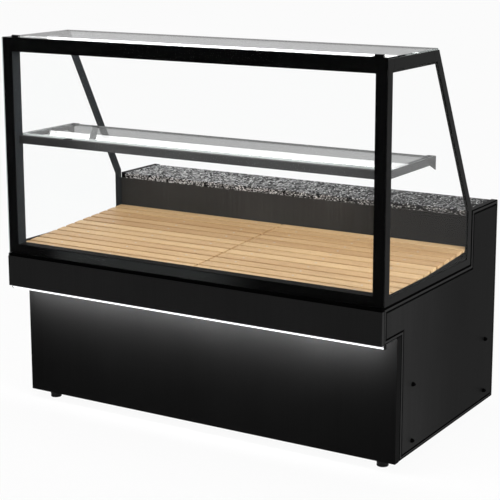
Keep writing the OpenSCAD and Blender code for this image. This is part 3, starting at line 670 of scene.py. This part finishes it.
back_left = ("X", 0.15, 0.65, (0.036, 0.035, 0.0335), (0.056, 0.0545, 0.052))
back_face = black_board("back_panel_laminate", (0.012, 0.0117, 0.0113), (0.019, 0.0185, 0.018), 0.02, 0.40,
                        pale_end=back_left)
eased("inner_back_panel", back_face, 0.5 * MM)
eased("rear_niche", inner_face, 0.5 * MM)
rail_finish = powder_coat("rail_powder_coat", grey(0.010), grey(0.016), 0.06)
eased("worktop_rail", rail_finish, 0.8 * MM)

# Worktop
# A polished slab of dark granite, 20 mm thick, bedded between the side panels. Its crystals are paler
# towards its left end.

granite = Finish("speckled_granite", {"Specular IOR Level": 0.002})
grain_place = granite.vectors("MULTIPLY", granite.place, (1, 0.62, 1.8))


def crystals(size, least):
    """Irregular crystals of a size, for the share of them above least."""
    swirls = {"Vector": grain_place, "Scale": 0.6 / size, "Detail": 2.0}
    wander = granite.node("ShaderNodeTexNoise", {}, swirls, out="Color")
    drift = granite.node("ShaderNodeVectorMath", {"operation": "SCALE"}, {0: wander, "Scale": 0.9 * size})
    where = granite.vectors("ADD", grain_place, drift)
    cells = granite.node("ShaderNodeTexVoronoi", {}, {"Vector": where, "Scale": 1 / size}, out="Color")
    return granite.node("ShaderNodeSeparateColor", {}, {0: cells}) > least


haze = granite.noise(6 * MM, detail=4.0)
black_crystals = granite.mix(haze, (0.004, 0.004, 0.0045), (0.020, 0.020, 0.021))
to_right = granite.along("X").between(-0.7, 0.8)
grey_mask = crystals(7.6 * MM, 0.66)
pale_mask = crystals(6 * MM, 0.79)
white_mask = crystals(4.2 * MM, 0.88)
grey_crystals = granite.mix(to_right, (0.24, 0.24, 0.243), (0.028, 0.028, 0.029))
pale_crystals = granite.mix(to_right, grey(0.50), grey(0.17))
white_crystals = granite.mix(to_right, (0.84, 0.84, 0.83), grey(0.60))
stone = granite.mix(grey_mask * 0.9, black_crystals, grey_crystals)
stone = granite.mix(pale_mask * 0.85, stone, pale_crystals)
granite.set("Base Color", granite.mix(white_mask * 0.9, stone, white_crystals))
granite.set("Roughness", 0.32 + 0.16 * grey_mask)
granite.bump(granite.noise(2 * MM), 0.015 * MM)
eased("worktop", granite, 1.6 * MM)

# Storage doors
# Laminated doors at the staff's side on steel pivot pins, with folded aluminium pulls and their screws.

to_staff = Matrix.Rotation(-math.pi / 2, 4, "X")
PULL_PLATE = 2 * MM
PULL_EDGE = 12 * MM
PULL_END = 15 * MM
door_face = black_board("door_laminate", grey(0.009), grey(0.014), 0.05, 0.45)
for door, pull in (("door_left", "door_pull_left"), ("door_right", "door_pull_right")):
    eased(door, door_face, 0.8 * MM)
    eased(pull, anodised, 0.4 * MM)
    pull_low, pull_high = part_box(pull)
    plate_x = pull_high.x - PULL_EDGE if pull_low.x > 0 else pull_low.x + PULL_EDGE
    pull_mesh = bmesh.new()
    for z in (pull_low.z + PULL_END, pull_high.z - PULL_END):
        stand = Matrix.Translation((plate_x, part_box(door)[1].y + PULL_PLATE, z)) @ to_staff
        cap_screw(pull_mesh, stand, 3.4 * MM, 2.2 * MM)
    seat(pull_mesh, f"{pull}_screws", zinc, pull)
eased("door_pivots", zinc, 0.3 * MM)

# Switch panel, rocker, driver of the lamps and cable gland
# A black panel closes the niche's last bay at the staff's side. It holds the lamps' rocker switch in a
# raised bezel and a gland for the mains cable. The driver lies on the niche's floor behind it.

eased("switch_panel", moulded, 0.4 * MM)
gloss_black = Finish("gloss_black_plastic", {"Specular IOR Level": 0.5})
gloss_black.set("Base Color", gloss_black.mix(gloss_black.noise(8 * MM), grey(0.010), grey(0.018)))
gloss_black.set("Roughness", 0.2 + 0.12 * gloss_black.noise(2 * MM))
eased("switch_rocker", gloss_black, 0.5 * MM)

ROCKER_TILT = math.radians(8)
AXLE_Z = 685 * MM
AXLE_IN = 2 * MM
rocker_low, rocker_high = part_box("switch_rocker")
axle = ((rocker_low.x + rocker_high.x) / 2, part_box("switch_panel")[0].y + AXLE_IN, AXLE_Z)
tilt = Matrix.Translation(axle) @ Matrix.Rotation(ROCKER_TILT, 4, "X")
white_print = Finish("white_print", {"Roughness": 0.5})
print_tone = white_print.noise(1 * MM)
white_print.set("Base Color", white_print.mix(print_tone, (0.62, 0.62, 0.61), (0.78, 0.78, 0.77)))

# A line marks the rocker's upper half and a ring its lower half
mark_mesh = bmesh.new()
plank(mark_mesh, (-0.45 * MM, 6.8 * MM, 4 * MM), (0.45 * MM, 7.3 * MM, 9 * MM), 0.1 * MM, tilt)
mark_ring = [(2.6 * MM, -0.3 * MM), (2.6 * MM, 0.3 * MM), (1.9 * MM, 0.3 * MM), (1.9 * MM, -0.3 * MM)]
ring_place = tilt @ Matrix.Translation((0, 7.0 * MM, -6.5 * MM)) @ to_staff
lathe(mark_mesh, mark_ring, ring_place, steps=32, hollow=True)
seat(mark_mesh, "rocker_marks", white_print, "switch_rocker")

white_paint = Finish("white_paint", {"Specular IOR Level": 0.4})
white_peel = white_paint.noise(1.4 * MM)
paint_tone = white_paint.noise(60 * MM)
white_paint.set("Base Color", white_paint.mix(paint_tone, (0.74, 0.74, 0.73), (0.82, 0.82, 0.81)))
white_paint.set("Roughness", 0.34 + 0.14 * white_peel)
white_paint.bump(white_peel, 0.04 * MM)
eased("lamp_driver", white_paint, 1.5 * MM)
FINS = 7
FIN_HALF = 1 * MM
FIN_INSET = 12 * MM
FIN_HIGH = 2 * MM
driver_low, driver_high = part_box("lamp_driver")
fin_mesh = bmesh.new()
for index in range(FINS):
    fin_x = driver_low.x + (index + 1) * (driver_high.x - driver_low.x) / (FINS + 1)
    plank(fin_mesh, (fin_x - FIN_HALF, driver_low.y + FIN_INSET, driver_high.z),
          (fin_x + FIN_HALF, driver_high.y - FIN_INSET, driver_high.z + FIN_HIGH), 0.4 * MM)
seat(fin_mesh, "lamp_driver_fins", white_paint, "lamp_driver")


def ribbed(turn):
    """The ribs round the gland's cap."""
    return 1 - 0.06 * (math.cos(16 * turn) > 0.2)


GLAND_Z = 620 * MM
GLAND_BORE = 4 * MM
gland_low, gland_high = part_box("cable_gland")
gland_place = Matrix.Translation(((gland_low.x + gland_high.x) / 2, gland_low.y, GLAND_Z)) @ to_staff
gland_outline = [
    (GLAND_BORE, 0), (11.4 * MM, 0, hexagon), (12 * MM, 0.7 * MM, hexagon), (12 * MM, 7.9 * MM, hexagon),
    (8 * MM, 8 * MM), (8 * MM, 12 * MM), (12 * MM, 12.1 * MM, hexagon), (12 * MM, 17.4 * MM, hexagon),
    (11 * MM, 18 * MM, hexagon), (10 * MM, 18.2 * MM, ribbed), (10 * MM, 24 * MM, ribbed),
    (9 * MM, 26 * MM, ribbed), (7 * MM, 27.6 * MM), (6 * MM, 28 * MM), (GLAND_BORE, 28 * MM),
]
gland_mesh = bmesh.new()
lathe(gland_mesh, gland_outline, gland_place, steps=96, hollow=True)
seat(gland_mesh, "cable_gland_nuts", moulded, "cable_gland", "cable_gland")

# Frame of the display
# Black powder-coated aluminium profiles: a front sill and rail, two upright posts, side sills and rails,
# and two rear posts that lean forward above the worktop.

OUTER_DEPTH = 6.5 * MM


def painted_light_inner_side(coat):
    """Painted light: the sides of the profiles that face into the display, which are lighter as if lit."""
    return (coat.facing((1, 0, 0)) > 0.7) * (abs(coat.along("X")) < HALF_LENGTH - OUTER_DEPTH)


# Painted shade: the front profiles and the hinges have a darker copy of the frame's coat than the side
# profiles.
shaded_front_coat = powder_coat("front_frame_shaded_powder_coat", grey(0.003), grey(0.005), 0.006)
# Painted light: the profiles' sides that face into the display are painted lighter.
side_coat = powder_coat("side_frame_powder_coat", grey(0.009), grey(0.013), 0.02, 0.42,
                        (painted_light_inner_side, (0.030, 0.033, 0.036)))
for profile in ("front_sill", "front_top_rail"):
    eased(profile, shaded_front_coat, 0.8 * MM)
for profile in ("front_posts", "side_sills", "side_top_rails", "rear_posts"):
    eased(profile, side_coat, 0.8 * MM)

# Glass of the display
# Toughened float glass with polished edges: a front pane, two side panes set flush in the frame and a
# top pane that lies on the rails, notched round the hinges.


def float_glass(name, tint, slant_tint, edge_tint, face, density, lines=(), ground=None):
    """Clear glass with the faint waviness of a toughened pane. It is deeper in colour at its edges, where
    it is looked through at a slant, and has painted shade and painted highlights along lines in y, where a
    polished edge shows through its face.
    Edges that are ground and not polished have a satin colour of their own."""
    pane = Finish(name, {"Transmission Weight": 1.0, "IOR": density})
    on_face = pane.facing(face) > 0.7
    slant = pane.node("ShaderNodeLayerWeight", {}, {"Blend": 0.5}, out="Facing").between(0.55, 0.9)
    body = pane.mix(slant, tint, slant_tint)
    across = pane.along("Y")
    for low, high, shade in lines:
        body = pane.mix((across > low) * (across < high), body, shade)
    pane.set("Base Color", pane.mix(on_face, edge_tint, body))
    smears = pane.noise(160 * MM, detail=4.0)
    pane.set("Roughness", 0.012 * smears.between(0.45, 0.75))
    pane.bump(pane.noise(240 * MM, detail=0.0), 0.01 * MM)
    rays = pane.node("ShaderNodeLightPath", out="Is Shadow Ray")
    through = pane.node("ShaderNodeBsdfTransparent", {}, {"Color": tint})
    solid = Wire(pane, pane.shader.outputs[0])
    if ground:
        satin = pane.node("ShaderNodeBsdfDiffuse", {}, {"Color": ground, "Roughness": 0.6})
        solid = pane.node("ShaderNodeMixShader", {}, {0: on_face, 1: satin, 2: solid})
    pane.show(pane.node("ShaderNodeMixShader", {}, {0: rays, 1: solid, 2: through}))
    return pane


SHY = 0.12 * MM
EDGE_PAST = 1 * MM
TOP_REAR_LINE = 38 * MM
CLEAR = (0.992, 0.996, 0.995)
CLEAR_SLANT = (0.92, 0.94, 0.935)
LEVEL = (0.955, 0.962, 0.960)
LEVEL_SLANT = (0.15, 0.153, 0.153)
front_pane = float_glass("front_glass", CLEAR, CLEAR_SLANT, (0.55, 0.62, 0.60), (0, 1, 0), 1.05)
side_pane = float_glass("side_glass", CLEAR, CLEAR_SLANT, (0.45, 0.52, 0.50), (1, 0, 0), 1.05)
top_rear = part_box("top_glass")[1].y
# Painted shade: a black line along the top pane's rear edge.
top_painted_shade_lines = [(top_rear - TOP_REAR_LINE, top_rear + EDGE_PAST, grey(0.0))]
top_pane = float_glass("top_glass", LEVEL, LEVEL_SLANT, (0.30, 0.32, 0.315), (0, 0, 1), 1.04, top_painted_shade_lines)
eased("front_glass", front_pane, 0.9 * MM, SHY)
eased("side_glasses", side_pane, 0.4 * MM, SHY)
eased("top_glass", top_pane, 0.8 * MM, SHY)

# Printed border
# Black enamel fired onto the inside of the front glass, wide at the top and narrow at the bottom. Its
# low band is paler over its left two thirds, a painted reflection.

BAND_TOP = 608 * MM
enamel = Finish("black_enamel", {"Specular IOR Level": 0.004})
enamel_deep = enamel.mix(enamel.noise(50 * MM), grey(0.0008), (0.0018, 0.0018, 0.0019))
enamel_x = enamel.along("X")
# Painted reflection: the low band is paler over its left two thirds.
reflection_length = (1 - enamel_x.between(0.05, 0.32)) * enamel_x.between(-0.60, -0.46)
painted_reflection_band = reflection_length * (enamel.along("Z") < BAND_TOP)
enamel.set("Base Color", enamel.mix(painted_reflection_band, enamel_deep, (0.021, 0.022, 0.022)))
enamel.set("Roughness", 0.3 + 0.1 * enamel.noise(3 * MM))
BORDER_TOP = 50 * MM
BORDER_LOW = 30 * MM
OFF_GLASS = 0.1 * MM
border_low, border_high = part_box("front_glass_border")
opening_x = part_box("front_sill")[1].x
inner_edge = [
    (-opening_x, border_low.z + BORDER_LOW), (opening_x, border_low.z + BORDER_LOW),
    (opening_x, border_high.z - BORDER_TOP), (-opening_x, border_high.z - BORDER_TOP),
]
outer_edge = [
    (border_low.x, border_low.z), (border_high.x, border_low.z),
    (border_high.x, border_high.z), (border_low.x, border_high.z),
]
print_front = border_low.y + OFF_GLASS
border_mesh = bmesh.new()
hoops = []
for edge, y in ((outer_edge, print_front), (outer_edge, border_high.y),
                (inner_edge, border_high.y), (inner_edge, print_front)):
    hoops.append([border_mesh.verts.new((x, y, z)) for x, z in edge])
skin(border_mesh, hoops + hoops[:1])
seat(border_mesh, "front_glass_print", enamel, "front_glass_border", "front_glass_border")

# Hinges of the front glass
# Two small black hinges on the top rail: a leaf glued to the glass, two knuckles screwed to the rail and
# a steel pin through them.

eased("glass_hinge_leaves", shaded_front_coat, 0.3 * MM)
eased("glass_hinge_bases", shaded_front_coat, 0.3 * MM)
eased("glass_hinge_pins", zinc, 0.3 * MM)
KNUCKLE_MIDDLES = (3.8 * MM, 26.2 * MM)
HINGE_SCREW_IN = 3.2 * MM
HINGE_SCREW_UP = 3 * MM
base_low, base_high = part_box("glass_hinge_bases")
hinge_mesh = bmesh.new()
for side in (-1, 1):
    for offset in KNUCKLE_MIDDLES:
        spot = (side * (base_high.x - offset), base_high.y - HINGE_SCREW_IN, base_low.z + HINGE_SCREW_UP)
        cap_screw(hinge_mesh, Matrix.Translation(spot), 2.3 * MM, 1.4 * MM)
seat(hinge_mesh, "hinge_screws", zinc, "glass_hinge_bases")

# Glass shelf
# A clear shelf on two steel arms that reach back from the front posts, behind a bar between the posts.
# Black stops hold its rear edge, and one clip sits on the bar.


def reflection_dark_left_end(coat):
    """The bar's left end, darker with a painted reflection."""
    return 1 - coat.along("X").between(-0.52, -0.34)


arm_coat = powder_coat("arm_powder_coat", grey(0.060), grey(0.085), 0.15)
# Painted reflection: the bar is darker towards its left end.
bar_coat = powder_coat("bar_powder_coat", grey(0.050), grey(0.068), 0.05, 0.42, (reflection_dark_left_end, grey(0.024)))
eased("shelf_bar", bar_coat, 0.8 * MM)
eased("shelf_arms", arm_coat, 0.6 * MM)
eased("shelf_stops", moulded, 0.5 * MM)
SHELF_FRONT_LINE = 14 * MM
SHELF_REAR_LINE = 22 * MM
GROUND_EDGE = (0.86, 0.90, 0.89)
shelf_front, shelf_rear = [corner.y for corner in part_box("shelf_glass")]
# A painted highlight along the shelf's front edge and painted shade along its rear edge.
shelf_painted_lines = [
    (shelf_front - EDGE_PAST, shelf_front + SHELF_FRONT_LINE, (0.94, 0.95, 0.948)),
    (shelf_rear - SHELF_REAR_LINE, shelf_rear + EDGE_PAST, grey(0.06)),
]
shelf_pane = float_glass("shelf_glass", LEVEL, LEVEL_SLANT, GROUND_EDGE, (0, 0, 1), 1.04,
                         shelf_painted_lines, GROUND_EDGE)
eased("shelf_glass", shelf_pane, 0.8 * MM, SHY)

# Lamp under the top glass
# A white housing with a painted glow, which shows white through the glass along the front rail, and an opal
# cover on its underside.

# Painted glow: the housing is painted metal and no lamp, but glows so that it shows white through the glass.
painted_glow_housing = opal("display_lamp_body_painted_glow", 2.4, grey(0.95), grey(1.0))
lamp_glow = opal("display_lamp_opal", 1.5, (1.0, 0.93, 0.82), (1.0, 0.97, 0.90))
eased("top_lamp_housing", painted_glow_housing, 1.0 * MM)
eased("top_lamp_cover", lamp_glow, 0.8 * MM)

# Studio
# A pale floor, a white surround, soft lamps and a camera placed as in the photo. Its lens is shifted only
# a little, so that the counter stays in the frame when it is seen from elsewhere.

scene = bpy.context.scene
scene.view_settings.view_transform = "Standard"


def seen_rays(nodes):
    """1 or more on rays straight from the camera, off gloss or through glass, and 0 on the others."""
    path = nodes.node("ShaderNodeLightPath", out="Is Camera Ray")
    seen = path
    for ray in ("Is Glossy Ray", "Is Transmission Ray"):
        seen = seen + Wire(nodes, path.socket.node.outputs[ray])
    return seen


FLOOR = 60
WHITE_SHARE = 0.94
floor_finish = Finish("studio_floor", {"Specular IOR Level": 0.1, "Roughness": 0.7})
floor_finish.set("Base Color", floor_finish.mix(floor_finish.noise(0.6), grey(0.80), grey(0.84)))
glow = floor_finish.node("ShaderNodeEmission", {}, {"Color": (1, 1, 1), "Strength": 1.0})
diffuse = Wire(floor_finish, floor_finish.shader.outputs[0])
white = (seen_rays(floor_finish) * WHITE_SHARE).at_most(WHITE_SHARE)
floor_finish.show(floor_finish.node("ShaderNodeMixShader", {}, {0: white, 1: diffuse, 2: glow}))
floor_mesh = bpy.data.meshes.new("studio_floor")
floor_corners = [(-FLOOR, -FLOOR, 0), (FLOOR, -FLOOR, 0), (FLOOR, FLOOR, 0), (-FLOOR, FLOOR, 0)]
floor_mesh.from_pydata(floor_corners, [], [(0, 1, 2, 3)])
floor_mesh.materials.append(floor_finish.material)
floor = bpy.data.objects.new("studio_floor", floor_mesh)
scene.collection.objects.link(floor)

AMBIENT = 0.45
world = bpy.data.worlds.new("surround")
scene.world = world
world.use_nodes = True
sky = Nodes(world.node_tree)
sky_light = sky.node("ShaderNodeMapRange", {}, {"Value": seen_rays(sky), "To Min": AMBIENT, "To Max": 1.0})
background = world.node_tree.nodes["Background"]
sky.feed(background.inputs["Color"], (1, 1, 1))
sky.feed(background.inputs["Strength"], sky_light)


def soft_lamp(name, place, aim, wide, high, power):
    """A soft lamp that shines from a place to an aim."""
    lamp = bpy.data.lights.new(name, "AREA")
    lamp.shape = "RECTANGLE"
    lamp.size = wide
    lamp.size_y = high
    lamp.energy = power
    stand = bpy.data.objects.new(name, lamp)
    stand.location = place
    stand.rotation_euler = (Vector(aim) - Vector(place)).to_track_quat("-Z", "Y").to_euler()
    stand.visible_camera = False
    scene.collection.objects.link(stand)
    return stand


soft_lamp("key", (8.2, -3.2, 4.0), (0.2, 0, 0.6), 3.6, 3.6, 320)
soft_lamp("fill", (-2.6, -4.4, 2.6), (0, 0, 0.7), 2.4, 2.4, 10)
soft_lamp("overhead", (0, 0.4, 4.2), (0, 0, 0.8), 2.6, 2.6, 50)

# A narrow panel far behind the counter, whose reflection is the white line along the glass top
GLARE_X = -2.75
GLARE_Y = 4.124
GLARE_Z = 1.8637
glare = soft_lamp("glare_panel", (GLARE_X, GLARE_Y, GLARE_Z), (GLARE_X, 0, GLARE_Z), 3.1, 0.073, 4.2)
glare.visible_diffuse = False

# The strip lamp's own wash over the plinth, from just under its cover
WASH_POWER = 22.0
WASH_HIGH = 6 * MM
WASH_BEHIND = 6 * MM
WASH_BELOW = 2 * MM
WASH_END = 2 * MM
WASH_SHORT = 26 * MM
wash_y = cap_axis_y + WASH_BEHIND
wash_z = cover_low.z - WASH_BELOW
wash_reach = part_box("plinth_panel")[1].x - WASH_END
soft_lamp("strip_wash", (-WASH_SHORT, wash_y, wash_z), (-WASH_SHORT, wash_y + 1, wash_z - 0.1),
          2 * (wash_reach - WASH_SHORT), WASH_HIGH, WASH_POWER)

PICTURE_PX = 500
FOCAL_PX = 1466
CENTRE_ROW = 210
CENTRE_COLUMN = 249
YAW = -0.5509
PITCH = 0.2005
ROLL = -0.0023
CAMERA_PLACE = (2.6833, -4.3895, 1.7756)
camera_data = bpy.data.cameras.new("camera")
camera_data.sensor_width = 36
camera_data.lens = FOCAL_PX * camera_data.sensor_width / PICTURE_PX
camera_data.shift_x = (PICTURE_PX / 2 - CENTRE_COLUMN) / PICTURE_PX
camera_data.shift_y = (CENTRE_ROW - PICTURE_PX / 2) / PICTURE_PX
camera = bpy.data.objects.new("camera", camera_data)
upright = Matrix.Rotation(-YAW, 4, "Z") @ Matrix.Rotation(math.pi / 2 - PITCH, 4, "X")
camera.matrix_world = Matrix.Translation(CAMERA_PLACE) @ (upright @ Matrix.Rotation(ROLL, 4, "Z"))
scene.collection.objects.link(camera)
scene.camera = camera

bpy.context.view_layer.update()
